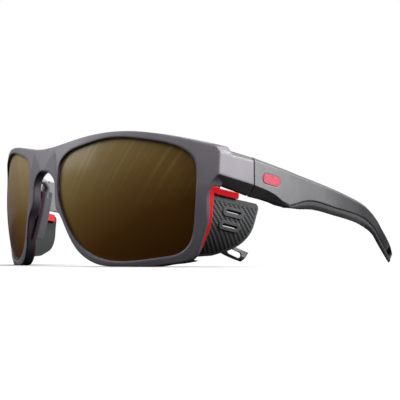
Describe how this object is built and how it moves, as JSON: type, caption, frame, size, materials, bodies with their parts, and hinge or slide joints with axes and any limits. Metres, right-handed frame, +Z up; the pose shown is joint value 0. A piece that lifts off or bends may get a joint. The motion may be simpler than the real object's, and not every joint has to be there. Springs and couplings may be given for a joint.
{
  "type": "glacier glasses",
  "caption": "Wraparound glacier glasses with tinted lenses, sliding vented side shields, soft nose pads and folding temples with grips and cord slots.",
  "frame": {"origin": "centre of the glasses on the floor plane that the rims and the temple tips rest on", "axes": "+X towards the wearer's left, +Y from the front back along the temples, +Z up"},
  "size_m": [0.1414, 0.1541, 0.0484],
  "materials": {
    "frame_grey": "matt, dark purple-grey",
    "lens_glass": "brown gradient with a bronze mirror",
    "soft_grey": "soft, matt",
    "light_grey": "satin",
    "red": "satin, translucent red",
    "shield_grey": "soft, matt",
    "panel_dark": "diagonal woven texture",
    "temple_grey": "matt, fading darker towards the tip",
    "soft_dark": "soft, matt",
    "badge_red": "enamel",
    "screw_steel": "plated",
    "insert_brass": "turned"
  },
  "bodies": {
    "front": {"front_frame": "frame_grey", "left_lens": "lens_glass", "left_nose_pad": "soft_grey", "left_nose_pad_arm": "light_grey", "left_shield_clip": "red", "left_hinge_screw": "screw_steel", "left_hinge_insert": "insert_brass", "right_lens": "lens_glass", "right_nose_pad": "soft_grey", "right_nose_pad_arm": "light_grey", "right_shield_clip": "red", "right_hinge_screw": "screw_steel", "right_hinge_insert": "insert_brass"},
    "left_temple_arm": {"left_temple": "temple_grey", "left_temple_grip": "soft_dark", "left_temple_badge": "badge_red"},
    "right_temple_arm": {"right_temple": "temple_grey", "right_temple_grip": "soft_dark", "right_temple_badge": "badge_red"},
    "left_side_shield": {"left_shield": "shield_grey", "left_shield_panel": "panel_dark", "left_shield_rail": "red"},
    "right_side_shield": {"right_shield": "shield_grey", "right_shield_panel": "panel_dark", "right_shield_rail": "red"}
  },
  "joints": [
    {"name": "left_temple_fold", "type": "hinge", "parent": "front", "child": "left_temple_arm", "pos_m": [0.0655, -0.0345, 0.032], "axis": [0, 0, 1], "range_deg": [0, 85]},
    {"name": "right_temple_fold", "type": "hinge", "parent": "front", "child": "right_temple_arm", "pos_m": [-0.0655, -0.0345, 0.032], "axis": [0, 0, -1], "range_deg": [0, 74]},
    {"name": "left_shield_slide", "type": "slide", "parent": "front", "child": "left_side_shield", "axis": [0.0731, 0.9874, -0.1401], "range_m": [0, 0.008]},
    {"name": "right_shield_slide", "type": "slide", "parent": "front", "child": "right_side_shield", "axis": [-0.0731, 0.9874, -0.1401], "range_m": [0, 0.008]}
  ]
}
